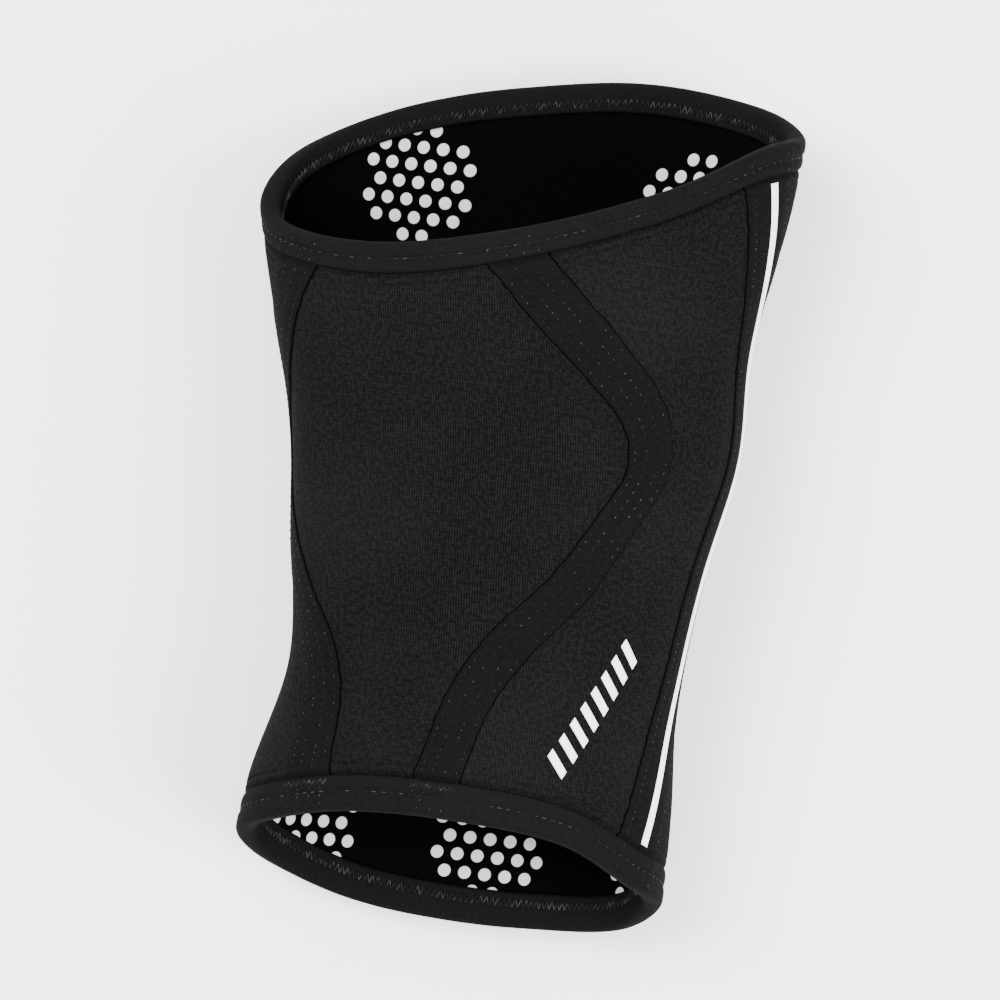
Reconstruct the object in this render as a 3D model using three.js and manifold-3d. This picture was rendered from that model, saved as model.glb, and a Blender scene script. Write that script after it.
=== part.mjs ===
// A knee sleeve of thick neoprene, lying flat on its back wall.
// Millimetres, +Z up, +Y towards the thigh end, the kneecap side on top.
import * as THREE from "three";
import { mergeVertices } from "three/addons/utils/BufferGeometryUtils.js";
import Module from "manifold-3d";

// The sleeve as it lies, measured outside
const LENGTH = 294.6;
const THIGH_WIDTH = 182.1;
const KNEE_WIDTH = 152;
const WAIST_WIDTH = 132.1;
const CALF_WIDTH = 149;
const THIGH_HEIGHT = 76;
const KNEE_HEIGHT = 84;
const CALF_HEIGHT = 72;

// The back wall lies flat in the middle and curls up towards both ends
const REST_LENGTH = 120;
const THIGH_LIFT = 12;
const CALF_LIFT = 9;

// The layers of the wall and what is sewn on it
const FOAM = 4.2;
const LINING = 0.8;
const TAPE = 0.9;
const TAPE_WIDTH = 16;
const SIDE_TAPE_WIDTH = 20;
const STRIPE = 0.7;
const STRIPE_WIDTH = 3;
const BINDING = 1;
const THIGH_HEM = 10.5;
const CALF_HEM = 12.5;
const HEM_ROUND = 2.2;
const CREASE = 2;

// Room between pieces
const CLEARANCE = 0.35;
const SEAM_GAP = 0.5;

// The section: the widest level as a share of the height, and the flat bottom as a share of the width.
const WIDEST_LEVEL = 0.44;
const FLAT_SHARE = 0.35;

// A place around the sleeve is 0 on top, 1 or -1 at the middle of the bottom, and positive on the right.
// The upper quarter of the section ends at SIDE, and its lower corner ends at CORNER.
const SIDE = 0.5;
const CORNER = 0.86;

// How fine the meshes are
const OPEN_STEPS = 12;
const AROUND_SEGMENTS = 38;

// A pattern reaches this far past the layer of cloth that it cuts, on every side.
const PATTERN_MARGIN = 4;

// The outline seen from above. y is a share of half the length, and shift a share of the knee's width.
const PROFILE = [
  { y: -1.0, width: CALF_WIDTH, height: CALF_HEIGHT, shift: -0.0146 },
  { y: -0.7, width: 0.963 * CALF_WIDTH, height: 1.04 * CALF_HEIGHT, shift: -0.0002 },
  { y: -0.42, width: WAIST_WIDTH, height: 0.955 * KNEE_HEIGHT, shift: 0.0233 },
  { y: -0.14, width: 0.92 * KNEE_WIDTH, height: 0.99 * KNEE_HEIGHT, shift: 0.0222 },
  { y: 0.14, width: KNEE_WIDTH, height: KNEE_HEIGHT, shift: 0.0272 },
  { y: 0.4, width: 0.895 * THIGH_WIDTH, height: 0.97 * KNEE_HEIGHT, shift: -0.0069 },
  { y: 0.7, width: 0.991 * THIGH_WIDTH, height: 1.03 * THIGH_HEIGHT, shift: -0.0139 },
  { y: 1.0, width: THIGH_WIDTH, height: THIGH_HEIGHT, shift: 0.0059 },
];

// The two cut edges. around is a place around the sleeve, and the edges are shares of half the length.
const EDGES = [
  { around: -5 / 6, thigh: 0.902, calf: -0.975 },
  { around: -4 / 6, thigh: 0.773, calf: -0.909 },
  { around: -3 / 6, thigh: 0.62, calf: -0.836 },
  { around: -2 / 6, thigh: 0.554, calf: -0.786 },
  { around: -1 / 6, thigh: 0.541, calf: -0.74 },
  { around: 0, thigh: 0.603, calf: -0.733 },
  { around: 1 / 6, thigh: 0.718, calf: -0.761 },
  { around: 2 / 6, thigh: 0.855, calf: -0.848 },
  { around: 3 / 6, thigh: 0.902, calf: -0.897 },
  { around: 4 / 6, thigh: 0.969, calf: -0.972 },
  { around: 5 / 6, thigh: 1.0, calf: -0.997 },
  { around: 1, thigh: 0.968, calf: -0.998 },
];

// The seams, from the calf hem (along 0) to the thigh hem (along 1), as places around the sleeve.
// front is the middle of the front panel. The others are distances from it: seam to both curved front
// seams, right and left to the two side seams.
const SEAMS = [
  { along: 0.0, front: -0.15, seam: 0.11, right: 0.486, left: 0.47 },
  { along: 0.15, front: -0.153, seam: 0.134, right: 0.54, left: 0.5 },
  { along: 0.26, front: -0.15, seam: 0.18, right: 0.573, left: 0.515 },
  { along: 0.38, front: -0.145, seam: 0.263, right: 0.58, left: 0.525 },
  { along: 0.5, front: -0.155, seam: 0.332, right: 0.607, left: 0.53 },
  { along: 0.575, front: -0.163, seam: 0.368, right: 0.628, left: 0.54 },
  { along: 0.665, front: -0.168, seam: 0.359, right: 0.634, left: 0.535 },
  { along: 0.78, front: -0.175, seam: 0.303, right: 0.625, left: 0.53 },
  { along: 0.9, front: -0.175, seam: 0.234, right: 0.575, left: 0.52 },
  { along: 1.0, front: -0.17, seam: 0.178, right: 0.527, left: 0.51 },
];

const KNIT = { color: 0x26272a, roughness: 0.9, metalness: 0 };
const SMOOTH_CLOTH = { color: 0x1c1d20, roughness: 0.75, metalness: 0 };
const JERSEY = { color: 0x16181e, roughness: 0.85, metalness: 0 };
const REFLECTIVE = { color: 0xf0f1f2, roughness: 0.45, metalness: 0 };

// A smooth curve through one column of a table, read at one value of its key column.
function read(table, key, column, at) {
  const last = table.length - 2;
  let i = table.findIndex((row) => row[key] > at) - 1;
  i = i < 0 ? (at < table[0][key] ? 0 : last) : Math.min(i, last);
  const slope = (from, to) => (to[column] - from[column]) / (to[key] - from[key]);
  const [a, b] = [table[i], table[i + 1]];
  const step = b[key] - a[key];
  const slopeA = i > 0 ? slope(table[i - 1], b) : slope(a, b);
  const slopeB = i < last ? slope(a, table[i + 2]) : slope(a, b);
  const t = (at - a[key]) / step;
  const t2 = t * t;
  const t3 = t2 * t;
  return (2 * t3 - 3 * t2 + 1) * a[column] + (t3 - 2 * t2 + t) * step * slopeA
    + (3 * t2 - 2 * t3) * b[column] + (t3 - t2) * step * slopeB;
}

// The edge table runs once around, so its ends are repeated a turn further on.
function shifted(row, turn) {
  return { ...row, around: row.around + turn };
}

const EDGE_LOOP = [
  ...EDGES.slice(-2).map((row) => shifted(row, -2)),
  ...EDGES,
  ...EDGES.slice(0, 2).map((row) => shifted(row, 2)),
];

// The same place around the sleeve, between -1 and 1.
function wrapped(around) {
  return around - 2 * Math.round(around / 2);
}

function edge(name, around) {
  return read(EDGE_LOOP, "around", name, wrapped(around)) * LENGTH / 2;
}

function lift(y) {
  const rest = REST_LENGTH / 2;
  const beyond = Math.max(0, Math.abs(y) - rest) / (LENGTH / 2 - rest);
  return (y > 0 ? THIGH_LIFT : CALF_LIFT) * beyond * beyond;
}

// A point of the wall: around the sleeve, at y, and deep below the outer face.
function wallPoint(around, y, deep) {
  const share = y / (LENGTH / 2);
  const half = read(PROFILE, "y", "width", share) / 2;
  const height = read(PROFILE, "y", "height", share);
  const middle = read(PROFILE, "y", "shift", share) * KNEE_WIDTH;
  const widest = WIDEST_LEVEL * height;
  const flat = FLAT_SHARE * half;
  const place = wrapped(around);
  const side = Math.sign(place) || 1;
  const turn = Math.abs(place);
  let x = flat * (1 - turn) / (1 - CORNER);
  let z = 0;
  const normal = new THREE.Vector2(0, -1);
  if (turn <= SIDE) {
    const angle = (turn / SIDE) * Math.PI / 2;
    x = half * Math.sin(angle);
    z = widest + (height - widest) * Math.cos(angle);
    normal.set(Math.sin(angle) / half, Math.cos(angle) / (height - widest)).normalize();
  } else if (turn < CORNER) {
    const angle = (turn - SIDE) / (CORNER - SIDE) * Math.PI / 2;
    x = flat + (half - flat) * Math.cos(angle);
    z = widest * (1 - Math.sin(angle));
    normal.set(Math.cos(angle) / (half - flat), -Math.sin(angle) / widest).normalize();
  }
  return new THREE.Vector3(
    middle + side * (x - normal.x * deep),
    y,
    lift(y) + z - normal.y * deep,
  );
}

// A row runs once around the wall. Its outer face dips where a binding folds over it.
const DIP = BINDING + CLEARANCE;
const CALF_START = CALF_HEM + CLEARANCE;
const THIGH_START = THIGH_HEM + CLEARANCE;

function row(along, y, dip = 0) {
  return { along, y, dip };
}

function openRow(along) {
  return row(along, (around) => THREE.MathUtils.lerp(
    edge("calf", around) + CALF_START + CREASE,
    edge("thigh", around) - THIGH_START - CREASE,
    along,
  ));
}

const OPEN_ROWS = Array.from({ length: OPEN_STEPS + 1 }, (_, i) => openRow(i / OPEN_STEPS));

// Between the bindings, where tapes and stripes show
const SHOWN_ROWS = [
  row(0, (around) => edge("calf", around) + CALF_START, DIP),
  ...OPEN_ROWS,
  row(1, (around) => edge("thigh", around) - THIGH_START, DIP),
];

// The whole wall, which stops inside the bindings' folds
const WALL_ROWS = [
  row(0, (around) => edge("calf", around) + HEM_ROUND, DIP),
  ...SHOWN_ROWS,
  row(1, (around) => edge("thigh", around) - HEM_ROUND, DIP),
];

// A pattern runs past both ends of the sleeve.
const PATTERN_ROWS = [
  row(0, (around) => edge("calf", around) - PATTERN_MARGIN),
  ...OPEN_ROWS,
  row(1, (around) => edge("thigh", around) + PATTERN_MARGIN),
];

// A seam line gives its place around the sleeve at each share along it.
function seamLine(column, side, turn = 0) {
  return (along) => {
    const front = read(SEAMS, "along", "front", along);
    return front + side * read(SEAMS, "along", column, along) + turn;
  };
}

const FRONT_RIGHT = seamLine("seam", 1);
const FRONT_LEFT = seamLine("seam", -1);
const SIDE_RIGHT = seamLine("right", 1);
const SIDE_LEFT = seamLine("left", -1);
const SIDE_LEFT_FROM_BELOW = seamLine("left", -1, 2);

// The place on a row that lies a distance beside a seam line, measured square to the line
function beside(line, wallRow, distance) {
  const around = line(wallRow.along);
  const y = wallRow.y(around);
  const step = 0.01;
  const before = wallPoint(around - step, y, 0);
  const after = wallPoint(around + step, y, 0);
  const span = before.distanceTo(after) / (2 * step);
  const from = Math.max(0, wallRow.along - step);
  const to = Math.min(1, wallRow.along + step);
  const across = (line(to) - line(from)) * span;
  const forward = openRow(to).y(around) - openRow(from).y(around);
  return around + distance * Math.hypot(1, across / forward) / span;
}

// Splits every square of a bent surface along its shorter diagonal. corners says where a geometry
// class lists the corners a, b, c and d of a square among the six of its two triangles.
function followBend(geometry, corners) {
  const { index, attributes: { position } } = geometry;
  const point = (vertex) => new THREE.Vector3().fromBufferAttribute(position, vertex);
  for (let i = 0; i < index.count; i += 6) {
    const [a, b, c, d] = corners.map((offset) => index.getX(i + offset));
    if (point(a).distanceTo(point(c)) < point(b).distanceTo(point(d))) {
      [a, b, c, a, c, d].forEach((vertex, k) => index.setX(i + k, vertex));
    }
  }
  return geometry;
}

const BOX_CORNERS = [0, 1, 4, 2];
const LATHE_CORNERS = [0, 1, 3, 2];

// A loop all around the sleeve with one closed section. The section's points hold y as a function of
// the place around, and how deep they lie. They run towards the thigh on the outer side.
function loop(section) {
  const outline = [...section, section[0]];
  const profile = outline.map(() => new THREE.Vector2(1, 0));
  const geometry = new THREE.LatheGeometry(profile, AROUND_SEGMENTS);
  const position = geometry.attributes.position;
  for (let i = 0; i < position.count; i++) {
    const around = wrapped(2 * Math.floor(i / outline.length) / AROUND_SEGMENTS);
    const { y, deep } = outline[i % outline.length];
    const point = wallPoint(around, y(around), deep);
    position.setXYZ(i, point.x, point.y, point.z);
  }
  return followBend(geometry, LATHE_CORNERS);
}

// A layer of cloth all around the sleeve. outside and inside give how deep its two faces lie in a row.
function layer(rows, outside, inside) {
  return loop([
    ...rows.map((wallRow) => ({ y: wallRow.y, deep: outside(wallRow) })),
    ...rows.toReversed().map((wallRow) => ({ y: wallRow.y, deep: inside(wallRow) })),
  ]);
}

// The pattern of a piece between two seam lines, which cuts right through the wall. Its sides lie
// beside the lines, at the given distances.
function pattern(from, fromDistance, to, toDistance, segments) {
  const geometry = new THREE.BoxGeometry(1, 1, 1, segments, PATTERN_ROWS.length - 1, 1);
  const position = geometry.attributes.position;
  for (let i = 0; i < position.count; i++) {
    const wallRow = PATTERN_ROWS[Math.round((position.getY(i) + 0.5) * (PATTERN_ROWS.length - 1))];
    const start = beside(from, wallRow, fromDistance);
    const end = beside(to, wallRow, toDistance);
    const around = THREE.MathUtils.lerp(start, end, position.getX(i) + 0.5);
    const deep = position.getZ(i) > 0 ? -PATTERN_MARGIN : FOAM + PATTERN_MARGIN;
    const point = wallPoint(around, wallRow.y(around), deep);
    position.setXYZ(i, point.x, point.y, point.z);
  }
  return followBend(geometry, BOX_CORNERS);
}

const wasm = await Module();
wasm.setup();

function toSolid(geometry) {
  const bare = new THREE.BufferGeometry();
  bare.setAttribute("position", geometry.attributes.position);
  bare.setIndex(geometry.index);
  const merged = mergeVertices(bare);
  return new wasm.Manifold(new wasm.Mesh({
    numProp: 3,
    vertProperties: merged.attributes.position.array,
    triVerts: Uint32Array.from(merged.index.array),
  }));
}

// The part of a layer that lies inside a pattern
function cut(layerGeometry, patternGeometry) {
  const { vertProperties, triVerts } = toSolid(layerGeometry).intersect(toSolid(patternGeometry)).getMesh();
  const geometry = new THREE.BufferGeometry();
  geometry.setAttribute("position", new THREE.BufferAttribute(vertProperties, 3));
  geometry.setIndex(new THREE.BufferAttribute(triVerts, 1));
  return geometry;
}

function piece(name, geometry, finish) {
  geometry.computeVertexNormals();
  const mesh = new THREE.Mesh(geometry, new THREE.MeshStandardMaterial(finish));
  mesh.name = name;
  return mesh;
}

const FOAM_LAYER = layer(WALL_ROWS, ({ dip }) => dip, () => FOAM);

// A foam panel between two seam lines, butted against its neighbours
function panel(name, from, to, segments) {
  const shape = pattern(from, SEAM_GAP / 2, to, -SEAM_GAP / 2, segments);
  return piece(name, cut(FOAM_LAYER, shape), KNIT);
}

// A strip along a seam line, as far above the wall's outer face as given
function strip(name, line, width, above, thickness, finish) {
  const under = ({ dip }) => dip - above;
  const cloth = layer(SHOWN_ROWS, (wallRow) => under(wallRow) - thickness, under);
  return piece(name, cut(cloth, pattern(line, -width / 2, line, width / 2, 2)), finish);
}

function tape(name, line, width) {
  return strip(name, line, width, CLEARANCE, TAPE, SMOOTH_CLOTH);
}

function stripe(name, line) {
  return strip(name, line, STRIPE_WIDTH, CLEARANCE + TAPE + CLEARANCE, STRIPE, REFLECTIVE);
}

function lining() {
  const rows = [WALL_ROWS[0], ...OPEN_ROWS, WALL_ROWS.at(-1)];
  const outside = FOAM + CLEARANCE;
  return piece("lining", layer(rows, () => outside, () => outside + LINING), JERSEY);
}

// A binding folds over a cut edge. Each point of its section holds how far in from the edge it lies,
// and how deep below the wall's outer face.
function binding(name, edgeName, hem) {
  const inside = FOAM + CLEARANCE + LINING + CLEARANCE + BINDING;
  const bevel = HEM_ROUND * (1 - Math.SQRT1_2);
  const fold = [
    { inset: hem, deep: 0 },
    { inset: HEM_ROUND, deep: 0 },
    { inset: bevel, deep: bevel },
    { inset: 0, deep: HEM_ROUND },
    { inset: 0, deep: inside - HEM_ROUND },
    { inset: bevel, deep: inside - bevel },
    { inset: HEM_ROUND, deep: inside },
    { inset: hem, deep: inside },
    { inset: hem, deep: inside - BINDING },
    { inset: HEM_ROUND, deep: inside - BINDING },
    { inset: BINDING, deep: inside - HEM_ROUND },
    { inset: BINDING, deep: HEM_ROUND },
    { inset: HEM_ROUND, deep: BINDING },
    { inset: hem, deep: BINDING },
  ];
  const inward = edgeName === "thigh" ? -1 : 1;
  const section = fold.map(({ inset, deep }) => (
    { y: (around) => edge(edgeName, around) + inward * inset, deep }
  ));
  const ordered = edgeName === "thigh" ? section : section.toReversed();
  return piece(name, loop(ordered), SMOOTH_CLOTH);
}

const sleeve = new THREE.Group();
sleeve.add(
  panel("front_panel", FRONT_LEFT, FRONT_RIGHT, 12),
  panel("side_panel_right", FRONT_RIGHT, SIDE_RIGHT, 6),
  panel("side_panel_left", SIDE_LEFT, FRONT_LEFT, 6),
  panel("back_panel", SIDE_RIGHT, SIDE_LEFT_FROM_BELOW, 14),
  lining(),
  tape("seam_tape_right", FRONT_RIGHT, TAPE_WIDTH),
  tape("seam_tape_left", FRONT_LEFT, TAPE_WIDTH),
  tape("side_tape_right", SIDE_RIGHT, SIDE_TAPE_WIDTH),
  tape("side_tape_left", SIDE_LEFT, SIDE_TAPE_WIDTH),
  stripe("reflective_stripe_right", SIDE_RIGHT),
  stripe("reflective_stripe_left", SIDE_LEFT),
  binding("thigh_binding", "thigh", THIGH_HEM),
  binding("calf_binding", "calf", CALF_HEM),
);

// The origin is the middle of the box that the sleeve fills, on the surface that it lies on.
const box = new THREE.Box3().setFromObject(sleeve);
const centre = box.getCenter(new THREE.Vector3());
sleeve.position.set(-centre.x, -centre.y, -box.min.z);

export default sleeve;
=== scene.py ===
import bisect
import functools
import math

import bmesh
import bpy
from mathutils import Matrix, Vector, noise


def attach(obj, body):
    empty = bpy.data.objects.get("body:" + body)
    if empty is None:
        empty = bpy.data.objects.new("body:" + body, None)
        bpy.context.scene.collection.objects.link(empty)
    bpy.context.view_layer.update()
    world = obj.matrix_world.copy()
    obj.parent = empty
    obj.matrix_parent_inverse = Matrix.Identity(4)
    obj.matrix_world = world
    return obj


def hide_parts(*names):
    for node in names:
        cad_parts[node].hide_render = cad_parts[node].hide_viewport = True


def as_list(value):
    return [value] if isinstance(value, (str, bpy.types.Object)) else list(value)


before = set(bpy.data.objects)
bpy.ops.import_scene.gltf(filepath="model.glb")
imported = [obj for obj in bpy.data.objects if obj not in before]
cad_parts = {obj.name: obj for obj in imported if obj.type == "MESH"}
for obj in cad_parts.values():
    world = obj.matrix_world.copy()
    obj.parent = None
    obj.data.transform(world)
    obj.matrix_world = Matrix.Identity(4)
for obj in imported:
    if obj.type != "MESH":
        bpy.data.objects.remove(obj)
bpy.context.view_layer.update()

MM = 0.001

# The sleeve as it lies, measured outside
LENGTH = 294.6 * MM
THIGH_WIDTH = 182.1 * MM
KNEE_WIDTH = 152 * MM
WAIST_WIDTH = 132.1 * MM
CALF_WIDTH = 149 * MM
THIGH_HEIGHT = 76 * MM
KNEE_HEIGHT = 84 * MM
CALF_HEIGHT = 72 * MM
REST_LENGTH = 120 * MM
LIFT = {"thigh": 12 * MM, "calf": 9 * MM}

# The layers of the wall and what is sewn on it
FOAM = 4.2 * MM
LINING = 0.8 * MM
TAPE = 0.9 * MM
TAPE_WIDTH = 16 * MM
SIDE_TAPE_WIDTH = 20 * MM
STRIPE = 0.7 * MM
STRIPE_WIDTH = 3 * MM
BINDING = 1 * MM
HEM = {"thigh": 10.5 * MM, "calf": 12.5 * MM}
CREASE = 2 * MM
CLEARANCE = 0.35 * MM
SEAM_GAP = 0.5 * MM

WIDEST_LEVEL = 0.44
FLAT_SHARE = 0.35
SIDE = 0.5
CORNER = 0.86

# y is a share of half the length, and shift a share of the knee's width.
PROFILE = [
    {"y": -1.0, "width": CALF_WIDTH, "height": CALF_HEIGHT, "shift": -0.0146},
    {"y": -0.7, "width": 0.963 * CALF_WIDTH, "height": 1.04 * CALF_HEIGHT, "shift": -0.0002},
    {"y": -0.42, "width": WAIST_WIDTH, "height": 0.955 * KNEE_HEIGHT, "shift": 0.0233},
    {"y": -0.14, "width": 0.92 * KNEE_WIDTH, "height": 0.99 * KNEE_HEIGHT, "shift": 0.0222},
    {"y": 0.14, "width": KNEE_WIDTH, "height": KNEE_HEIGHT, "shift": 0.0272},
    {"y": 0.4, "width": 0.895 * THIGH_WIDTH, "height": 0.97 * KNEE_HEIGHT, "shift": -0.0069},
    {"y": 0.7, "width": 0.991 * THIGH_WIDTH, "height": 1.03 * THIGH_HEIGHT, "shift": -0.0139},
    {"y": 1.0, "width": THIGH_WIDTH, "height": THIGH_HEIGHT, "shift": 0.0059},
]

# The two cut edges, as shares of half the length
EDGES = [
    {"around": -5 / 6, "thigh": 0.902, "calf": -0.975},
    {"around": -4 / 6, "thigh": 0.773, "calf": -0.909},
    {"around": -3 / 6, "thigh": 0.62, "calf": -0.836},
    {"around": -2 / 6, "thigh": 0.554, "calf": -0.786},
    {"around": -1 / 6, "thigh": 0.541, "calf": -0.74},
    {"around": 0, "thigh": 0.603, "calf": -0.733},
    {"around": 1 / 6, "thigh": 0.718, "calf": -0.761},
    {"around": 2 / 6, "thigh": 0.855, "calf": -0.848},
    {"around": 3 / 6, "thigh": 0.902, "calf": -0.897},
    {"around": 4 / 6, "thigh": 0.969, "calf": -0.972},
    {"around": 5 / 6, "thigh": 1.0, "calf": -0.997},
    {"around": 1, "thigh": 0.968, "calf": -0.998},
]

# The seams, from the calf hem (along 0) to the thigh hem (along 1)
SEAMS = [
    {"along": 0.0, "front": -0.15, "seam": 0.11, "right": 0.486, "left": 0.47},
    {"along": 0.15, "front": -0.153, "seam": 0.134, "right": 0.54, "left": 0.5},
    {"along": 0.26, "front": -0.15, "seam": 0.18, "right": 0.573, "left": 0.515},
    {"along": 0.38, "front": -0.145, "seam": 0.263, "right": 0.58, "left": 0.525},
    {"along": 0.5, "front": -0.155, "seam": 0.332, "right": 0.607, "left": 0.53},
    {"along": 0.575, "front": -0.163, "seam": 0.368, "right": 0.628, "left": 0.54},
    {"along": 0.665, "front": -0.168, "seam": 0.359, "right": 0.634, "left": 0.535},
    {"along": 0.78, "front": -0.175, "seam": 0.303, "right": 0.625, "left": 0.53},
    {"along": 0.9, "front": -0.175, "seam": 0.234, "right": 0.575, "left": 0.52},
    {"along": 1.0, "front": -0.17, "seam": 0.178, "right": 0.527, "left": 0.51},
]

# How the panels swell, and how often they do so in a metre
PANEL_SWELL = 0.45 * MM
SWELL_REACH = 7 * MM
UNEVENNESS = 0.25 * MM
UNEVEN_AROUND = 28
UNEVEN_ALONG = 22

# How the tapes and stripes stand up. The shares are of half a tape's width.
TAPE_RISE = 0.8 * MM
TAPE_SQUARE = 14
TAPE_TUCK = 0.1 * MM
STRIPE_SEAT = 0.1 * MM
STITCH_GROOVE = 0.2 * MM
STITCH_GROOVE_SHARE = 0.09
EDGE_WAVER = 0.45 * MM
WAVER_ALONG = 300
WAVER_ACROSS = 2
WAVER_SEED = 100

# The hems, the ridge of a tape under them, and the crease line in the panels beside them. The
# shares are of a hem's width, from the cut edge.
HEM_SWELL = 0.35 * MM
HEM_INNER_SWELL = 0.35 * MM
HEM_LINE = 1.5 * MM
HEM_LINE_WIDTH = 0.4 * MM
HEM_LINE_DEPTH = 0.5 * MM
HEM_STITCH_SHARE = 0.56
RIM_SQUARE = 0.75
TAPE_RIDGE = 0.45 * MM
RIDGE_SLOPE = 1.2 * MM
RIDGE_FADE = 3 * MM

# Threads. The rows lie at shares of half a tape's width.
THREAD = 0.4 * MM
STITCH_LENGTH = 1.9 * MM
STITCH_STEP = 3.1 * MM
STITCH_SEAT = 0.1 * MM
TAPE_STITCH_LENGTH = 0.8 * MM
TAPE_STITCH_STEP = 2.7 * MM
TAPE_STITCH_RISE = 0.03 * MM
TAPE_ROWS = (-0.72, -0.26, 0.26, 0.72)
SIDE_TAPE_ROWS = (-0.72, 0.72)
ZIGZAG_SHARE = 0.7
ZIGZAG_WIDTH = 3.2 * MM
ZIGZAG_STEP = 1 * MM
TACK_TURNS = 16
TACK_HEIGHT = 2 * MM
TACK_SHARE = 0.94
HEM_EDGE_INSET = 1 * MM
RIM_INSET = 2.5 * MM


def smooth(t):
    t = min(max(t, 0.0), 1.0)
    return t * t * (3 - 2 * t)


def mix(a, b, t):
    return a + (b - a) * t


class Curve:
    """A smooth curve through a table's rows, carried on past both ends."""

    def __init__(self, keys, values):
        self.keys = keys
        self.values = values
        last = len(keys) - 1
        ends = [(max(i - 1, 0), min(i + 1, last)) for i in range(last + 1)]
        self.slopes = [(values[b] - values[a]) / (keys[b] - keys[a]) for a, b in ends]

    def __call__(self, at):
        i = min(max(bisect.bisect_right(self.keys, at) - 1, 0), len(self.keys) - 2)
        step = self.keys[i + 1] - self.keys[i]
        t = (at - self.keys[i]) / step
        return (
            (2 * t**3 - 3 * t**2 + 1) * self.values[i]
            + (t**3 - 2 * t**2 + t) * step * self.slopes[i]
            + (3 * t**2 - 2 * t**3) * self.values[i + 1]
            + (t**3 - t**2) * step * self.slopes[i + 1]
        )


def column(table, key, name):
    return Curve([row[key] for row in table], [row[name] for row in table])


def turned(row, turn):
    return {**row, "around": row["around"] + turn}


EDGE_LOOP = [turned(row, -2) for row in EDGES[-2:]] + EDGES + [turned(row, 2) for row in EDGES[:2]]
EDGE_CURVES = {name: column(EDGE_LOOP, "around", name) for name in ("thigh", "calf")}
WIDTH = column(PROFILE, "y", "width")
HEIGHT = column(PROFILE, "y", "height")
SHIFT = column(PROFILE, "y", "shift")
SEAM_CURVES = {name: column(SEAMS, "along", name) for name in ("front", "seam", "right", "left")}


def wrapped(around):
    return around - 2 * round(around / 2)


def edge(end, around):
    return EDGE_CURVES[end](wrapped(around)) * LENGTH / 2


def lift(y):
    beyond = max(0, abs(y) - REST_LENGTH / 2) / (LENGTH / 2 - REST_LENGTH / 2)
    return LIFT["thigh" if y > 0 else "calf"] * beyond * beyond


def wall_point(around, y, deep=0.0):
    """A point of the wall: around the sleeve, at y, and deep below the outer face."""
    share = y / (LENGTH / 2)
    half = WIDTH(share) / 2
    height = HEIGHT(share)
    widest = WIDEST_LEVEL * height
    flat = FLAT_SHARE * half
    place = wrapped(around)
    side = -1 if place < 0 else 1
    turn = abs(place)
    if turn <= SIDE:
        angle = turn / SIDE * math.pi / 2
        x = half * math.sin(angle)
        z = widest + (height - widest) * math.cos(angle)
        normal = Vector((math.sin(angle) / half, math.cos(angle) / (height - widest))).normalized()
    elif turn < CORNER:
        angle = (turn - SIDE) / (CORNER - SIDE) * math.pi / 2
        x = flat + (half - flat) * math.cos(angle)
        z = widest * (1 - math.sin(angle))
        normal = Vector((math.cos(angle) / (half - flat), -math.sin(angle) / widest)).normalized()
    else:
        x = flat * (1 - turn) / (1 - CORNER)
        z = 0
        normal = Vector((0, -1))
    return Vector((
        SHIFT(share) * KNEE_WIDTH + side * (x - normal.x * deep),
        y,
        max(0, lift(y) + z - normal.y * deep),
    ))


# The distance around the outer face from the top, at evenly spaced levels and places. The levels
# reach a little past both ends.
ARC_LEVELS = 48
ARC_PLACES = 96
ARC_REACH = 1.02


@functools.cache
def arc_row(level):
    y = (2 * level / ARC_LEVELS - 1) * LENGTH / 2 * ARC_REACH
    points = [wall_point(2 * i / ARC_PLACES - 1, y) for i in range(ARC_PLACES + 1)]
    lengths = [0.0]
    for a, b in zip(points, points[1:]):
        lengths.append(lengths[-1] + math.hypot(b.x - a.x, b.z - a.z))
    return [length - lengths[ARC_PLACES // 2] for length in lengths]


def arc(around, y):
    """How far around the outer face a place lies from the top, to the right."""
    turns = round(around / 2)
    level = min(max((y / (LENGTH / 2 * ARC_REACH) + 1) / 2 * ARC_LEVELS, 0), ARC_LEVELS - 1e-6)
    place = min(max((wrapped(around) + 1) / 2 * ARC_PLACES, 0), ARC_PLACES - 1e-6)
    i, j = int(level), int(place)
    found = []
    for row in (arc_row(i), arc_row(i + 1)):
        found.append(mix(row[j], row[j + 1], place - j) + turns * (row[-1] - row[0]))
    return mix(found[0], found[1], level - i)


# A row runs once around the wall: its share along the seams, the hem it is near, and how far past
# that hem's end it lies.
START = CLEARANCE + CREASE
DIP = BINDING + CLEARANCE
OPEN_LENGTH = 0.75 * LENGTH

# The rows in millimetres past a hem's end, and how many more follow close to it in the open
ROWS_PAST_HEM = (-4, -2, -0.6, 0, 0.35, 0.7, 1.05, 1.4, 1.75, 2.05)
FINE_ROWS = 7


def hem_row(end, past):
    """A row past a hem's end, or under the hem, where the seams run on as they did."""
    beyond = (START - past) / OPEN_LENGTH
    return (1 + beyond if end == "thigh" else -beyond, end, past)


def row_y(row, around):
    along, end, past = row
    calf = edge("calf", around) + HEM["calf"]
    thigh = edge("thigh", around) - HEM["thigh"]
    if end == "calf":
        return calf + past
    if end == "thigh":
        return thigh - past
    return mix(calf + START, thigh - START, along)


def open_row(along):
    return (along, None, START)


def row_sink(row):
    return DIP * (1 - smooth(row[2] / START))


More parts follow.
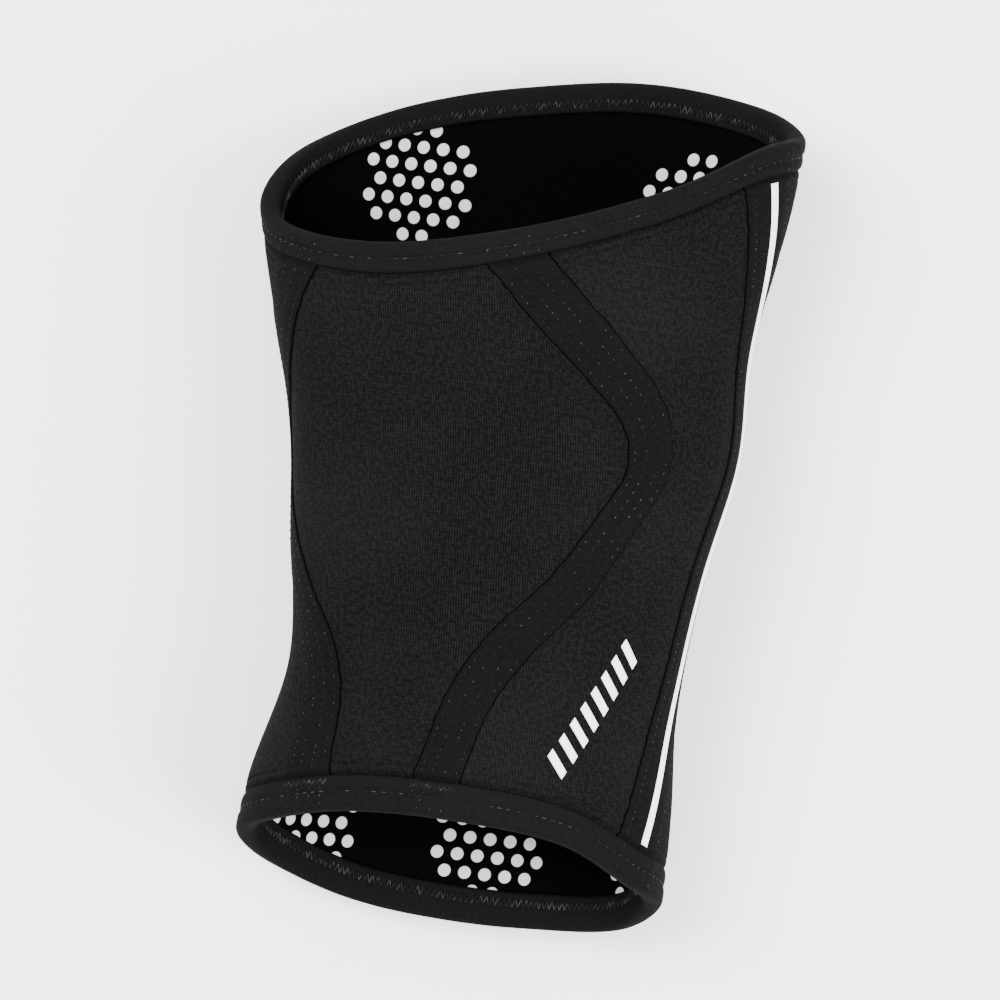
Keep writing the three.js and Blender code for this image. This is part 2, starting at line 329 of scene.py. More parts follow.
def rows_between(steps, tucked):
    near = [past * MM for past in ROWS_PAST_HEM if past * MM >= -tucked]
    calf = [hem_row("calf", past) for past in near]
    thigh = [hem_row("thigh", past) for past in reversed(near)]
    fine = [i * HEM_LINE_WIDTH / OPEN_LENGTH for i in range(1, FINE_ROWS + 1)]
    alongs = sorted([i / steps for i in range(steps + 1)] + fine + [1 - along for along in fine])
    return calf + [open_row(along) for along in alongs] + thigh


def seam_line(name, side, turn=0):
    def line(along):
        return SEAM_CURVES["front"](along) + side * SEAM_CURVES[name](along) + turn
    return line


FRONT_RIGHT = seam_line("seam", 1)
FRONT_LEFT = seam_line("seam", -1)
SIDE_RIGHT = seam_line("right", 1)
SIDE_LEFT = seam_line("left", -1)
SIDE_LEFT_FROM_BELOW = seam_line("left", -1, 2)


def beside(line, row, distance):
    """The place on a row that lies a distance beside a seam line, measured square to the line."""
    around = line(row[0])
    y = row_y(row, around)
    step = 0.01
    span = (wall_point(around + step, y) - wall_point(around - step, y)).length / (2 * step)
    start, end = max(0, row[0] - step), min(1, row[0] + step)
    across = (line(end) - line(start)) * span
    forward = row_y(open_row(end), around) - row_y(open_row(start), around)
    return around + distance * math.hypot(1, across / forward) / span


# Meshes

def sheet(columns, rows, place):
    """A sheet of cloth. place gives a vertex's point and its cloth coordinates from its two numbers."""
    mesh = bmesh.new()
    bmesh.ops.create_grid(mesh, x_segments=columns, y_segments=rows, size=0.5)
    cloth = {}
    for vertex in mesh.verts:
        i = round((vertex.co.x + 0.5) * columns)
        j = round((vertex.co.y + 0.5) * rows)
        vertex.co, cloth[vertex] = place(i, j)
    layer = mesh.loops.layers.uv.new("cloth")
    for face in mesh.faces:
        face.smooth = True
        for loop in face.loops:
            loop[layer].uv = cloth[loop.vert]
    return mesh


def finish_piece(name, mesh, material, thickness=None, replaces=()):
    data = bpy.data.meshes.new(name)
    mesh.to_mesh(data)
    mesh.free()
    data.materials.append(material)
    piece = bpy.data.objects.new(name, data)
    bpy.context.scene.collection.objects.link(piece)
    if thickness:
        solid = piece.modifiers.new("thickness", "SOLIDIFY")
        solid.thickness = thickness
        solid.offset = -1
    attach(piece, "root")
    if replaces:
        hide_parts(*replaces)
    return piece


# Materials

class Tree:
    """Places nodes in a material or a group, and joins them."""

    def __init__(self, tree):
        self.nodes = tree.nodes
        self.links = tree.links

    def add(self, kind, settings=None, **inputs):
        node = self.nodes.new(kind)
        for name, value in (settings or {}).items():
            setattr(node, name, value)
        for name, value in inputs.items():
            numbered = name[1:].isdigit()
            socket = node.inputs[int(name[1:]) if numbered else name.replace("_", " ")]
            if isinstance(value, bpy.types.NodeSocket):
                self.links.new(value, socket)
            else:
                socket.default_value = value
        return node

    def math(self, operation, a, b=0.0, c=0.0):
        return self.add("ShaderNodeMath", {"operation": operation}, _0=a, _1=b, _2=c).outputs[0]

    def ramp(self, value, low, high, to_low=0.0, to_high=1.0):
        node = self.add("ShaderNodeMapRange", {"interpolation_type": "SMOOTHSTEP"}, Value=value,
                        From_Min=low, From_Max=high, To_Min=to_low, To_Max=to_high)
        return node.outputs[0]

    def blend(self, share, a, b):
        node = self.add("ShaderNodeMix", {"data_type": "RGBA"}, _0=share, _6=a, _7=b)
        return node.outputs[2]


def group(name, inputs, outputs):
    made = bpy.data.node_groups.new(name, "ShaderNodeTree")
    for label, kind, value in inputs:
        socket = made.interface.new_socket(label, in_out="INPUT", socket_type=kind)
        if value is not None:
            socket.default_value = value
    for label, kind in outputs:
        made.interface.new_socket(label, in_out="OUTPUT", socket_type=kind)
    tree = Tree(made)
    entry = made.nodes.new("NodeGroupInput").outputs
    leave = made.nodes.new("NodeGroupOutput").inputs
    return made, tree, entry, leave


def knit_group():
    """Wales along the cloth's length and loops across them, as heights from 0 to 1, and the grooves
    between the wales, as a mask from 0 to 1 for painted shade.
    """
    made, tree, entry, leave = group(
        "knit",
        [("Cloth", "NodeSocketVector", None), ("Wale", "NodeSocketFloat", 1 * MM),
         ("Course", "NodeSocketFloat", 0.8 * MM), ("Wander", "NodeSocketFloat", 0.2)],
        [("Height", "NodeSocketFloat"), ("Groove", "NodeSocketFloat")],
    )
    drift = tree.add("ShaderNodeTexNoise", Vector=entry["Cloth"], Scale=180.0, Detail=2.0)
    apart = tree.add("ShaderNodeSeparateXYZ", Vector=entry["Cloth"])
    across = tree.math("DIVIDE", apart.outputs[0], entry["Wale"])
    moved = tree.math("MULTIPLY_ADD", drift.outputs[0], entry["Wander"], across)
    wale = tree.math("ABSOLUTE", tree.math("SINE", tree.math("MULTIPLY", moved, math.pi)))
    even = tree.math("PINGPONG", moved, 1.0)
    along = tree.math("DIVIDE", apart.outputs[1], entry["Course"])
    bent = tree.math("MULTIPLY_ADD", even, 0.5, along)
    course = tree.math("ABSOLUTE", tree.math("SINE", tree.math("MULTIPLY", bent, math.pi)))
    loops = tree.math("MULTIPLY", wale, tree.math("MULTIPLY_ADD", course, 0.5, 0.5))
    slack = tree.add("ShaderNodeTexNoise", Vector=entry["Cloth"], Scale=700.0, Detail=3.0)
    loops = tree.math("MULTIPLY", loops, tree.ramp(slack.outputs[0], 0.38, 0.62, 0.25, 1.0))
    tree.links.new(loops, leave["Height"])
    tree.links.new(tree.ramp(wale, 0.0, 0.6, 1.0, 0.0), leave["Groove"])
    return made


def wear_group():
    """Uneven tone and fine lint, as masks from 0 to 1."""
    made, tree, entry, leave = group(
        "wear",
        [("Place", "NodeSocketVector", None), ("Patch", "NodeSocketFloat", 18.0),
         ("Lint", "NodeSocketFloat", 2600.0)],
        [("Tone", "NodeSocketFloat"), ("Lint", "NodeSocketFloat")],
    )
    broad = tree.add("ShaderNodeTexNoise", Vector=entry["Place"], Scale=entry["Patch"], Detail=3.0)
    fine = tree.add("ShaderNodeTexNoise", Vector=entry["Place"], Scale=entry["Lint"], Detail=2.0)
    tree.links.new(tree.ramp(broad.outputs[0], 0.3, 0.7), leave["Tone"])
    tree.links.new(tree.ramp(fine.outputs[0], 0.55, 0.8), leave["Lint"])
    return made


KNIT = knit_group()
WEAR = wear_group()


def blank_material(name, roughness, specular=0.3):
    material = bpy.data.materials.new(name)
    material.use_nodes = True
    tree = Tree(material.node_tree)
    shader = material.node_tree.nodes["Principled BSDF"]
    shader.inputs["Roughness"].default_value = roughness
    shader.inputs["Specular IOR Level"].default_value = specular
    return material, tree, shader


def grey(value, blue=1.0):
    return (value, value, value * blue, 1)


# Painted shade: a dark line is painted along a tape's edge, where the step down to the panel would be in
# shade. It begins at the first distance in from the edge, and is full from the second on.
EDGE_SHADE_LINE = (0.75 * MM, 0.35 * MM)
EDGE_SHADE_TONE = grey(0.0002)
PRINT_TONE = grey(0.48, 1.05)
CLOTH_SPECULAR = 0.02
CLOTH_RELIEF = 0.35 * MM


def knit_cloth(name, dark, light, wale, course, bump, roughness, prints=None, shaded_edge_at=None):
    material, tree, shader = blank_material(name, roughness, CLOTH_SPECULAR)
    coordinates = tree.add("ShaderNodeTexCoord").outputs
    cloth = tree.add("ShaderNodeUVMap", {"uv_map": "cloth"}).outputs[0]
    knit = tree.add("ShaderNodeGroup", {"node_tree": KNIT}, Cloth=cloth, Wale=wale, Course=course)
    wear = tree.add("ShaderNodeGroup", {"node_tree": WEAR}, Place=coordinates["Object"])
    # Painted light and shade: the knit's colour is lighter on the loops' tops and darker in the grooves
    # between wales. The wear tone and lint mixed in are the cloth's own.
    tone = tree.math("MULTIPLY_ADD", wear.outputs["Tone"], 0.25, knit.outputs["Height"])
    tone = tree.math("MULTIPLY_ADD", knit.outputs["Groove"], -0.3, tone)
    tone = tree.math("MULTIPLY_ADD", wear.outputs["Lint"], 0.5, tone)
    colour = tree.blend(tree.ramp(tone, -0.3, 1.4), dark, light)
    rough = tree.ramp(knit.outputs["Height"], 0.0, 1.0, roughness + 0.05, roughness - 0.08)
    height = tree.math("MULTIPLY_ADD", wear.outputs["Lint"], 0.25, knit.outputs["Height"])
    if shaded_edge_at:
        # Painted shade: the tape's colour is darkened along its edges, where the step down to the panel
        # would be in shade.
        beyond = tree.math("ABSOLUTE", tree.add("ShaderNodeSeparateXYZ", Vector=cloth).outputs[0])
        shade = tree.ramp(beyond, shaded_edge_at - EDGE_SHADE_LINE[0], shaded_edge_at - EDGE_SHADE_LINE[1])
        colour = tree.blend(shade, colour, EDGE_SHADE_TONE)
    if prints:
        mask = prints(tree, cloth)
        colour = tree.blend(mask, colour, PRINT_TONE)
        rough = tree.blend(mask, rough, grey(0.4))
        height = tree.math("MULTIPLY_ADD", mask, 1.2, height)
    relief = tree.add("ShaderNodeBump", Strength=bump, Distance=CLOTH_RELIEF, Height=height)
    tree.links.new(colour, shader.inputs["Base Color"])
    tree.links.new(rough, shader.inputs["Roughness"])
    tree.links.new(relief.outputs[0], shader.inputs["Normal"])
    return material


# Grip dots printed on the lining: patches of dots in staggered lines, near both mouths
DOT = 2.3 * MM
DOT_STEP = 7 * MM
PATCH_DOTS = 2.6
PATCHES = [
    {"y": 105 * MM, "step": 98 * MM, "start": -37 * MM},
    {"y": -118 * MM, "step": 67 * MM, "start": 13 * MM},
]


def grip_dots(tree, cloth):
    apart = tree.add("ShaderNodeSeparateXYZ", Vector=cloth).outputs
    masks = []
    for patch in PATCHES:
        u = tree.math("SUBTRACT", apart[0], patch["start"])
        u = tree.math("WRAP", u, patch["step"] / 2, -patch["step"] / 2)
        v = tree.math("SUBTRACT", apart[1], patch["y"])
        for half in (0, 0.5):
            centre_u = nearest(tree, u, DOT_STEP, half)
            centre_v = nearest(tree, v, DOT_STEP * math.sqrt(3), half)
            off = tree.math("POWER", tree.math("SUBTRACT", u, centre_u), 2.0)
            off = tree.math("ADD", off, tree.math("POWER", tree.math("SUBTRACT", v, centre_v), 2.0))
            dot = tree.ramp(tree.math("SQRT", off), DOT, DOT * 0.86)
            wide, high = tree.math("ABSOLUTE", centre_u), tree.math("ABSOLUTE", centre_v)
            slanted = tree.math("MULTIPLY_ADD", wide, 0.5, tree.math("MULTIPLY", high, math.sqrt(0.75)))
            reach = tree.math("MAXIMUM", wide, slanted)
            inside = tree.math("LESS_THAN", reach, PATCH_DOTS * DOT_STEP)
            masks.append(tree.math("MULTIPLY", dot, inside))
    total = masks[0]
    for mask in masks[1:]:
        total = tree.math("MAXIMUM", total, mask)
    return total


def nearest(tree, value, step, half):
    """The nearest of evenly spaced numbers, which half a step may shift."""
    scaled = tree.math("MULTIPLY_ADD", value, 1 / step, half)
    return tree.math("MULTIPLY", tree.math("SUBTRACT", tree.math("ROUND", scaled), half), step)


def film(name):
    material, tree, shader = blank_material(name, 0.4)
    place = tree.add("ShaderNodeTexCoord").outputs["Object"]
    beads = tree.add("ShaderNodeTexVoronoi", Vector=place, Scale=3200.0).outputs["Distance"]
    wear = tree.add("ShaderNodeGroup", {"node_tree": WEAR}, Place=place)
    colour = tree.blend(wear.outputs["Tone"], grey(0.78), grey(0.86))
    relief = tree.add("ShaderNodeBump", Strength=0.25, Distance=0.1 * MM, Height=beads)
    tree.links.new(colour, shader.inputs["Base Color"])
    tree.links.new(tree.ramp(beads, 0.0, 0.6, 0.32, 0.5), shader.inputs["Roughness"])
    tree.links.new(relief.outputs[0], shader.inputs["Normal"])
    return material


def thread_material(name, dark, light):
    material, tree, shader = blank_material(name, 0.5, 0.1)
    place = tree.add("ShaderNodeTexCoord").outputs["Object"]
    twist = tree.add("ShaderNodeTexNoise", Vector=place, Scale=3000.0, Detail=1.0).outputs[0]
    worn = tree.add("ShaderNodeTexNoise", Vector=place, Scale=330.0, Detail=1.0).outputs[0]
    shine = tree.math("MULTIPLY_ADD", twist, 0.15, tree.ramp(worn, 0.48, 0.68))
    relief = tree.add("ShaderNodeBump", Strength=0.4, Distance=0.1 * MM, Height=twist)
    tree.links.new(tree.blend(shine, dark, light), shader.inputs["Base Color"])
    tree.links.new(tree.ramp(twist, 0.3, 0.7, 0.4, 0.6), shader.inputs["Roughness"])
    tree.links.new(relief.outputs[0], shader.inputs["Normal"])
    return material


RIB_KNIT = knit_cloth("rib_knit", grey(0.0012), grey(0.008),
                      wale=0.86 * MM, course=1.2 * MM, bump=0.5, roughness=0.85)
# Both kinds of tape have a painted shade line along their edges.
TAPE_CLOTH = {
    width: knit_cloth(name, grey(0.002), grey(0.0042),
                      wale=0.5 * MM, course=0.4 * MM, bump=0.35, roughness=0.8, shaded_edge_at=width / 2)
    for name, width in (("tape_cloth", TAPE_WIDTH), ("side_tape_cloth", SIDE_TAPE_WIDTH))
}
BINDING_CLOTH = knit_cloth("binding_cloth", grey(0.0026), grey(0.0054),
                           wale=0.5 * MM, course=0.4 * MM, bump=0.4, roughness=0.8)
JERSEY = knit_cloth("lining_jersey", grey(0.0004, 1.6), grey(0.001, 1.6),
                    wale=0.6 * MM, course=0.5 * MM, bump=0.4, roughness=0.9, prints=grip_dots)
FILM = film("reflective_film")
BLACK_THREAD = thread_material("black_thread", grey(0.0012), grey(0.025))


# Panels

def panel_sheet(from_line, from_tape, to_line, to_tape, axis, columns, steps=104):
    """A panel between two seams, each under a tape. Its ribs are counted from the axis."""
    rows = rows_between(steps, 4 * MM)
    bounds = [(beside(from_line, row, SEAM_GAP / 2), beside(to_line, row, -SEAM_GAP / 2)) for row in rows]

    def place(i, j):
        row = rows[j]
        start, end = bounds[j]
        around = mix(start, end, i / columns)
        y = row_y(row, around)
        here = arc(around, y)
        swell = smooth((here - arc(start, y) - from_tape / 2) / SWELL_REACH)
        swell *= smooth((arc(end, y) - here - to_tape / 2) / SWELL_REACH)
        past_hem = min(y - edge("calf", around) - HEM["calf"], edge("thigh", around) - HEM["thigh"] - y)
        line = swell**0.25 * math.exp(-(((past_hem - START - HEM_LINE) / HEM_LINE_WIDTH) ** 2))
        uneven = noise.noise(Vector((here * UNEVEN_AROUND, y * UNEVEN_ALONG, axis)))
        rise = swell * smooth(past_hem / SWELL_REACH) * (PANEL_SWELL + UNEVENNESS * uneven)
        sink = row_sink(row) + HEM_LINE_DEPTH * line
        return wall_point(around, y, sink - rise), (here - arc(axis, y), y)

    return sheet(columns, len(rows) - 1, place)


def panel(name, *seams, **cloth):
    mesh = panel_sheet(*seams, **cloth)
    piece = finish_piece(name + "_knit", mesh, RIB_KNIT, FOAM - DIP, [name])
    return piece


panel("front_panel", FRONT_LEFT, TAPE_WIDTH, FRONT_RIGHT, TAPE_WIDTH, axis=-0.16, columns=56)
panel("side_panel_right", FRONT_RIGHT, TAPE_WIDTH, SIDE_RIGHT, SIDE_TAPE_WIDTH, axis=0.25, columns=40)
panel("side_panel_left", SIDE_LEFT, SIDE_TAPE_WIDTH, FRONT_LEFT, TAPE_WIDTH, axis=-0.5, columns=32)
panel("back_panel", SIDE_RIGHT, SIDE_TAPE_WIDTH, SIDE_LEFT_FROM_BELOW, SIDE_TAPE_WIDTH, axis=0.95,
      columns=64)


# Tapes and stripes

def tape_rise(s):
    """How far a tape's face stands above the wall, from its middle (0) to its edge (1 or -1)."""
    groove = math.exp(-(((abs(s) - TAPE_ROWS[-1]) / STITCH_GROOVE_SHARE) ** 2))
    at_edge = abs(s) ** TAPE_SQUARE
    return TAPE_RISE * (1 - at_edge) - STITCH_GROOVE * groove - TAPE_TUCK * at_edge


def stripe_rise(s):
    return TAPE_RISE + STRIPE * (1 - abs(s) ** 4) - STRIPE_SEAT


def strip_sheet(line, width, rise, columns, rows, waver=0.0):
    """A strip along a seam line. Its edges waver a little, as sewn ones do."""

    def place(i, j):
        row = rows[j]
        s = math.sin((i / columns - 0.5) * math.pi)
        level = row_y(row, line(row[0]))
        drift = noise.noise(Vector((level * WAVER_ALONG, s * WAVER_ACROSS, width * WAVER_SEED)))
        drawn = waver * s**5 * drift
        around = beside(line, row, s * width / 2 + drawn)
        y = row_y(row, around)
        return wall_point(around, y, row_sink(row) - rise(s)), (s * width / 2, y)

    return sheet(columns, len(rows) - 1, place)


def tape(name, line, width):
    mesh = strip_sheet(line, width, tape_rise, 22, rows_between(200, 4 * MM), EDGE_WAVER)
    return finish_piece(name + "_cloth", mesh, TAPE_CLOTH[width], 0.5 * TAPE, [name])


def stripe(name, line):
    mesh = strip_sheet(line, STRIPE_WIDTH, stripe_rise, 8, [open_row(i / 120) for i in range(121)])
    return finish_piece(name + "_film", mesh, FILM, 0.5 * STRIPE, [name])


# Stitches

def stitch_shape():
    """The points and faces of one stitch, a bead that is stretched between two points."""
    mesh = bmesh.new()
    bmesh.ops.create_uvsphere(mesh, u_segments=6, v_segments=4, radius=1)
    mesh.verts.index_update()
    points = [vertex.co.copy() for vertex in mesh.verts]
    faces = [[vertex.index for vertex in face.verts] for face in mesh.faces]
    mesh.free()
    return points, faces


def stitch(start, end):
    """The place of one stitch: a slim bead of thread between two points."""
    way = end - start
    turn = way.to_track_quat("Z", "X").to_matrix().to_4x4()
    size = Matrix.Diagonal((THREAD / 2, THREAD / 2, way.length / 2, 1))
    return Matrix.Translation((start + end) / 2) @ turn @ size


def seam_stitches(line, distance, rise):
    """Stitches along a seam, a distance beside it."""
    stitches = []
    middle = line(0.5)
    length = row_y(open_row(1), middle) - row_y(open_row(0), middle)
    count = int(length / TAPE_STITCH_STEP)
    half = TAPE_STITCH_LENGTH / 2 / length
    for i in range(count):
        along = (i + 0.5) / count
        ends = []
        for at in (along - half, along + half):
            row = open_row(min(max(at, 0), 1))
            around = beside(line, row, distance)
            ends.append(wall_point(around, row_y(row, around), -rise))
        stitches.append(stitch(*ends))
    return stitches


def finish_stitches(name, stitches):
    """Every stitch is a copy of one bead."""
    points, faces = stitch_shape()
    data = bpy.data.meshes.new(name)
    data.from_pydata(
        [place @ point for place in stitches for point in points],
        [],
        [[i + copy * len(points) for i in face] for copy in range(len(stitches)) for face in faces],
    )
    mesh = bmesh.new()
    mesh.from_mesh(data)
    bpy.data.meshes.remove(data)
    for face in mesh.faces:
        face.smooth = True
    return finish_piece(name, mesh, BLACK_THREAD)


def tape_rows(width):
    """How far beside a tape's middle each of its rows of stitches runs."""
    rows = TAPE_ROWS if width == TAPE_WIDTH else SIDE_TAPE_ROWS
    return [row * width / 2 for row in rows]


def tape_stitches(name, line, width):
    stitches = []
    for distance in tape_rows(width):
        stitches += seam_stitches(line, distance, tape_rise(2 * distance / width) + TAPE_STITCH_RISE)
    return finish_stitches(name, stitches)


TAPES = {
    "seam_tape_right": (FRONT_RIGHT, TAPE_WIDTH, ["front_panel_knit", "side_panel_right_knit"]),
    "seam_tape_left": (FRONT_LEFT, TAPE_WIDTH, ["front_panel_knit", "side_panel_left_knit"]),
    "side_tape_right": (SIDE_RIGHT, SIDE_TAPE_WIDTH, ["side_panel_right_knit", "back_panel_knit"]),
    "side_tape_left": (SIDE_LEFT, SIDE_TAPE_WIDTH, ["side_panel_left_knit", "back_panel_knit"]),
}

for tape_name, (seam, tape_width, under) in TAPES.items():
    cloth_piece = tape(tape_name, seam, tape_width)
    on_it = [tape_stitches(tape_name + "_stitches", seam, tape_width)]
    if tape_name.startswith("side"):
        on_it.append(stripe(tape_name.replace("side_tape", "reflective_stripe"), seam))
    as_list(under)


# Lining. Its rows under the hems are in millimetres past a hem's end.
LINING_DEPTH = FOAM + CLEARANCE + LINING + 0.1 * MM
LINING_TUCK = {"calf": (-7, -3, 0), "thigh": (0, -3, -6)}


def lining_sheet(columns=132, steps=96):
    calf = [hem_row("calf", past * MM) for past in LINING_TUCK["calf"]]
    thigh = [hem_row("thigh", past * MM) for past in LINING_TUCK["thigh"]]
    rows = calf + [open_row(i / steps) for i in range(steps + 1)] + thigh

    def place(i, j):
        around = 2 * i / columns
        y = row_y(rows[j], around)
        return wall_point(around, y, LINING_DEPTH), (arc(1, y) - arc(around, y), y)

    mesh = sheet(columns, len(rows) - 1, place)
    bmesh.ops.remove_doubles(mesh, verts=mesh.verts, dist=0.001 * MM)
    bmesh.ops.reverse_faces(mesh, faces=mesh.faces)
    return mesh


lining = finish_piece("lining_cloth", lining_sheet(), JERSEY, LINING, ["lining"])


# Bindings

THROUGH = FOAM + CLEARANCE + LINING + CLEARANCE + BINDING


def fold_line(hem):
    """The outer face of a folded binding from its outer edge over the rim to its inner edge."""
    stitch = HEM_STITCH_SHARE * hem
    radius = THROUGH / 2
    outer = [
        (hem + 0.1 * MM, 0.9 * MM),
        (hem - 0.15 * MM, 0.3 * MM),
        (hem - 0.8 * MM, -0.2 * MM),
        ((hem + stitch) / 2, -HEM_SWELL),
        (stitch + 1.1 * MM, -0.5 * HEM_SWELL),
        (stitch, STITCH_GROOVE),
        (stitch - 1.1 * MM, -0.5 * HEM_SWELL),
        ((stitch + radius) / 2, -HEM_SWELL),
    ]
    rim = []
    for i in range(1, 12):
        angle = i / 12 * math.pi
        out, down = math.sin(angle) ** RIM_SQUARE, math.cos(angle)
        down = math.copysign(abs(down) ** RIM_SQUARE, down)
        rim.append((radius * (1 - out), radius - (radius + 0.3 * MM) * down))
    inner = [
        ((ZIGZAG_SHARE * hem + radius) / 2, THROUGH + HEM_INNER_SWELL),
        (ZIGZAG_SHARE * hem, THROUGH + 0.1 * MM),
        (hem - 0.8 * MM, THROUGH + 0.25 * MM),
        (hem, THROUGH - 0.5 * MM),
    ]
    points = outer + rim + inner
    lengths = [0.0]
    for a, b in zip(points, points[1:]):
        lengths.append(lengths[-1] + math.dist(a, b))
    inset = Curve(lengths, [p[0] for p in points])
    deep = Curve(lengths, [p[1] for p in points])
    return inset, deep, lengths[-1]


def tape_ridge(end, around, y, hem, inset):
    """How far the tapes under a hem push it out."""
    along = hem_row(end, inset - hem)[0]
    most = 0
    for line, width, _ in TAPES.values():
        apart = abs(arc(wrapped(around - line(along)) + line(along), y) - arc(line(along), y))
        most = max(most, smooth((width / 2 - apart) / RIDGE_SLOPE + 0.5))
    return TAPE_RIDGE * most * smooth(inset / RIDGE_FADE)


def hem_y(end, around, inset):
    return edge(end, around) + (inset if end == "calf" else -inset)


def binding_sheet(end, columns=240, rows=56):
    hem = HEM[end]
    inset, deep, length = fold_line(hem)

    def place(i, j):
        around = 2 * i / columns
        at = length * j / rows
        y = hem_y(end, around, inset(at))
        depth = deep(at)
        if depth < THROUGH / 2:
            depth -= tape_ridge(end, around, y, hem, inset(at))
        return wall_point(around, y, depth), (at, arc(around, y))

    mesh = sheet(columns, rows, place)
    bmesh.ops.remove_doubles(mesh, verts=mesh.verts, dist=0.001 * MM)
    if end == "calf":
        bmesh.ops.reverse_faces(mesh, faces=mesh.faces)
    return mesh, length


def places_around(end, inset, step):
    """Places around the sleeve at even distances along a hem."""
    around, ahead = 0.0, 0.01
    while around < 2:
        yield around
        here = wall_point(around, hem_y(end, around, inset))
        there = wall_point(around + ahead, hem_y(end, around + ahead, inset))
        around += step * ahead / (there - here).length


def hem_stitches(end):
    stitches = []
    inset = HEM_STITCH_SHARE * HEM[end]
    for around in places_around(end, inset, STITCH_STEP):
        ends = []
        for shift in (0, 0.006):
            y = hem_y(end, around + shift, inset)
            rise = tape_ridge(end, around + shift, y, HEM[end], inset)
            ends.append(wall_point(around + shift, y, STITCH_GROOVE - STITCH_SEAT - rise))
        way = (ends[1] - ends[0]).normalized() * STITCH_LENGTH
        stitches.append(stitch(ends[0], ends[0] + way))
    return stitches


def hem_place(end, line, distance, inset):
    """A point on a hem's outer face, beside a tape that runs under it."""
    around = beside(line, hem_row(end, inset - HEM[end]), distance)
    y = hem_y(end, around, inset)
    return wall_point(around, y, -HEM_SWELL - tape_ridge(end, around, y, HEM[end], inset))


def bar_tack(end, line, width):
    """A short zigzag that holds a tape's end under the hem."""
    points = []
    for i in range(TACK_TURNS + 1):
        inset = HEM[end] - HEM_EDGE_INSET - (TACK_HEIGHT if i % 2 else 0)
        points.append(hem_place(end, line, (i / TACK_TURNS - 0.5) * TACK_SHARE * width, inset))
    return [stitch(a, b) for a, b in zip(points, points[1:])]


def hem_crossings(end):
    """The tapes' rows of stitches, carried on across a hem."""
    stitches = []
    for line, width, _ in TAPES.values():
        for distance in tape_rows(width):
            inset = HEM[end] - HEM_EDGE_INSET
            while inset > RIM_INSET:
                ends = [hem_place(end, line, distance, at) for at in (inset, inset - TAPE_STITCH_LENGTH)]
                stitches.append(stitch(*ends))
                inset -= TAPE_STITCH_STEP
        if end == "calf" and width == TAPE_WIDTH:
            stitches += bar_tack(end, line, width)
    return stitches


def hem_zigzag(end):
    stitches = []
    middle = ZIGZAG_SHARE * HEM[end]
    last = None
    for i, around in enumerate(places_around(end, middle, ZIGZAG_STEP)):
        inset = middle + (ZIGZAG_WIDTH / 2 if i % 2 else -ZIGZAG_WIDTH / 2)
        point = wall_point(around, hem_y(end, around, inset), THROUGH + HEM_INNER_SWELL)
        if last:
            stitches.append(stitch(last, point))
        last = point
    return stitches


for hem_end in ("thigh", "calf"):
    hem_mesh, fold_length = binding_sheet(hem_end)
    hem_piece = finish_piece(hem_end + "_hem", hem_mesh, BINDING_CLOTH, 0.9 * BINDING,
                             [hem_end + "_binding"])
    hem_threads = hem_stitches(hem_end) + hem_crossings(hem_end) + hem_zigzag(hem_end)
    threads = finish_stitches(hem_end + "_hem_stitches", hem_threads)


# A row of slanted bars of reflective film on the right side panel. It runs between two places
# around the sleeve, each with its level.
MARK_FROM = (0.13, -88 * MM)
MARK_TO = (0.252, -44 * MM)
BARS = 8
BAR_WIDTH = 3 * MM
BAR_LENGTH = 8.5 * MM
BAR_SLANT = 0.45
BAR_SEAT = PANEL_SWELL + UNEVENNESS + 0.1 * MM


def bar_sheet(middle, way):
    columns, rows = 4, 8
    near = 0.05
    span = arc(middle[0] + near, middle[1]) - arc(middle[0] - near, middle[1])

    def place(i, j):
        across = (i / columns - 0.5) * BAR_WIDTH
        along = (j / rows - 0.5) * BAR_LENGTH
        shift = along * BAR_SLANT + across
        dx = way[0] * shift - way[1] * along
        dy = way[1] * shift + way[0] * along
        around = middle[0] + dx / span * 2 * near
        return wall_point(around, middle[1] + dy, -BAR_SEAT), (across, along)

    return sheet(columns, rows, place)


def reflective_mark():
    span = arc(MARK_TO[0], MARK_TO[1]) - arc(MARK_FROM[0], MARK_FROM[1])
    way = Vector((span, MARK_TO[1] - MARK_FROM[1])).normalized()
    mesh = bmesh.new()
    mesh.loops.layers.uv.new("cloth")
    for i in range(BARS):
        t = (i + 0.5) / BARS
        bar = bar_sheet((mix(MARK_FROM[0], MARK_TO[0], t), mix(MARK_FROM[1], MARK_TO[1], t)), way)
        held = bpy.data.meshes.new("bar")
        bar.to_mesh(held)
        bar.free()
        mesh.from_mesh(held)
        bpy.data.meshes.remove(held)
    return finish_piece("reflective_bars", mesh, FILM, 0.25 * MM)


reflective_mark()


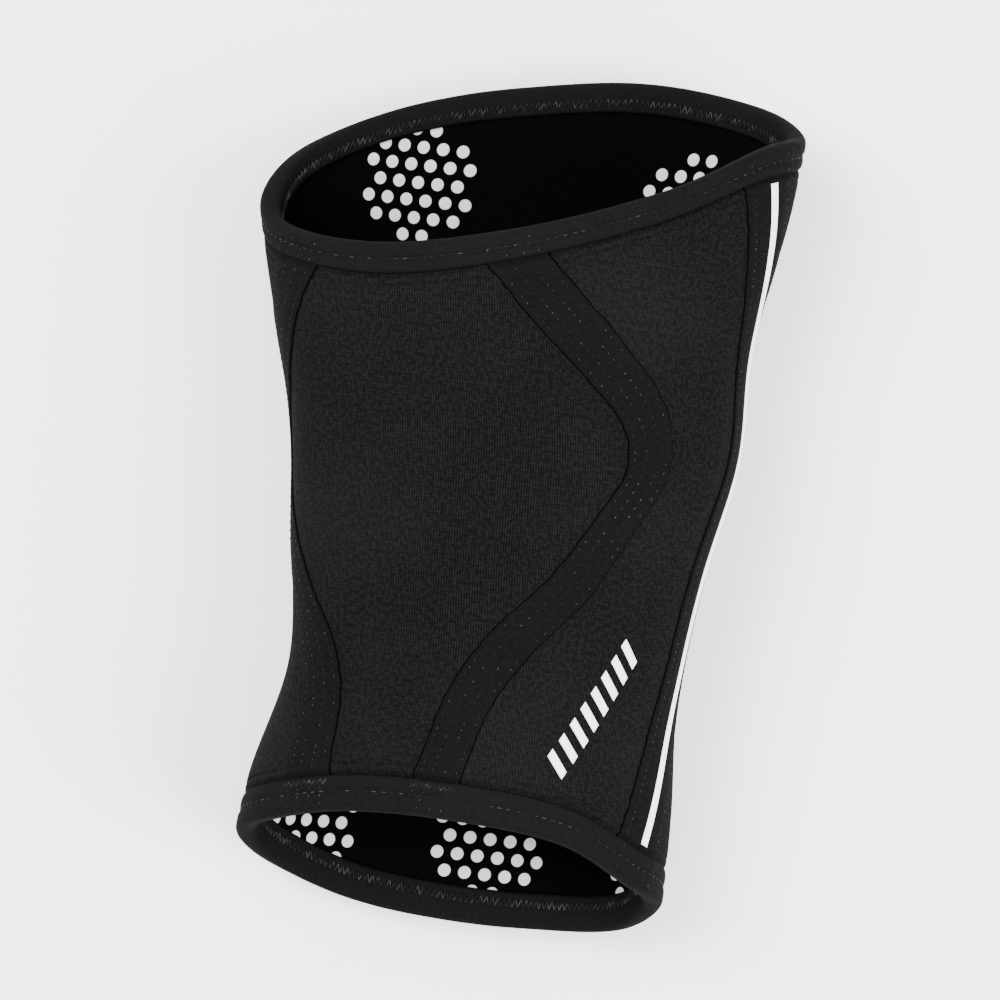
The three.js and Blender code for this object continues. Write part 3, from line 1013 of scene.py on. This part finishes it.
# Floor, light and camera. The lights' power is in watts, the camera's turn in degrees, and the
# floor reaches its size, in metres, each way from the middle.
FLOOR_SIZE = 6
FLOOR_LEVEL = -0.0003
KEY_LIGHT = {"place": (-0.9, 0.5, 1.5), "size": 1.2, "power": 80}
FILL_LIGHT = {"place": (1.2, -0.4, 1.1), "size": 1.2, "power": 68}
SKY_STRENGTH = 1.9
CAMERA_PLACE = (0.0020, -0.0009, 1.4)
CAMERA_TURN = 6.6
CAMERA_LENS = 144.7


def floor():
    mesh = bmesh.new()
    bmesh.ops.create_grid(mesh, x_segments=1, y_segments=1, size=FLOOR_SIZE)
    data = bpy.data.meshes.new("floor")
    mesh.to_mesh(data)
    mesh.free()
    material, tree, shader = blank_material("floor_paint", 0.9)
    place = tree.add("ShaderNodeTexCoord").outputs["Object"]
    grain = tree.add("ShaderNodeTexNoise", Vector=place, Scale=40.0, Detail=4.0).outputs[0]
    tree.links.new(tree.blend(grain, grey(0.9), grey(0.92)), shader.inputs["Base Color"])
    data.materials.append(material)
    piece = bpy.data.objects.new("floor", data)
    piece.location.z = FLOOR_LEVEL
    bpy.context.scene.collection.objects.link(piece)


def softbox(name, place, size, power):
    """A round soft light that is aimed at the middle of the floor."""
    data = bpy.data.lights.new(name, "AREA")
    data.shape = "DISK"
    data.size = size
    data.energy = power
    light = bpy.data.objects.new(name, data)
    light.location = place
    light.rotation_euler = (-Vector(place)).to_track_quat("-Z", "Y").to_euler()
    bpy.context.scene.collection.objects.link(light)


def studio():
    floor()
    softbox("key_light", **KEY_LIGHT)
    softbox("fill_light", **FILL_LIGHT)
    world = bpy.data.worlds.new("studio")
    world.use_nodes = True
    sky = world.node_tree.nodes["Background"].inputs
    sky["Color"].default_value = (1, 1, 1, 1)
    sky["Strength"].default_value = SKY_STRENGTH
    bpy.context.scene.world = world


def camera():
    data = bpy.data.cameras.new("camera")
    data.lens = CAMERA_LENS
    data.sensor_width = 36
    data.clip_start = 0.05
    data.clip_end = 30
    made = bpy.data.objects.new("camera", data)
    made.location = CAMERA_PLACE
    made.rotation_euler = (0, 0, math.radians(CAMERA_TURN))
    bpy.context.scene.collection.objects.link(made)
    bpy.context.scene.camera = made


camera()
studio()
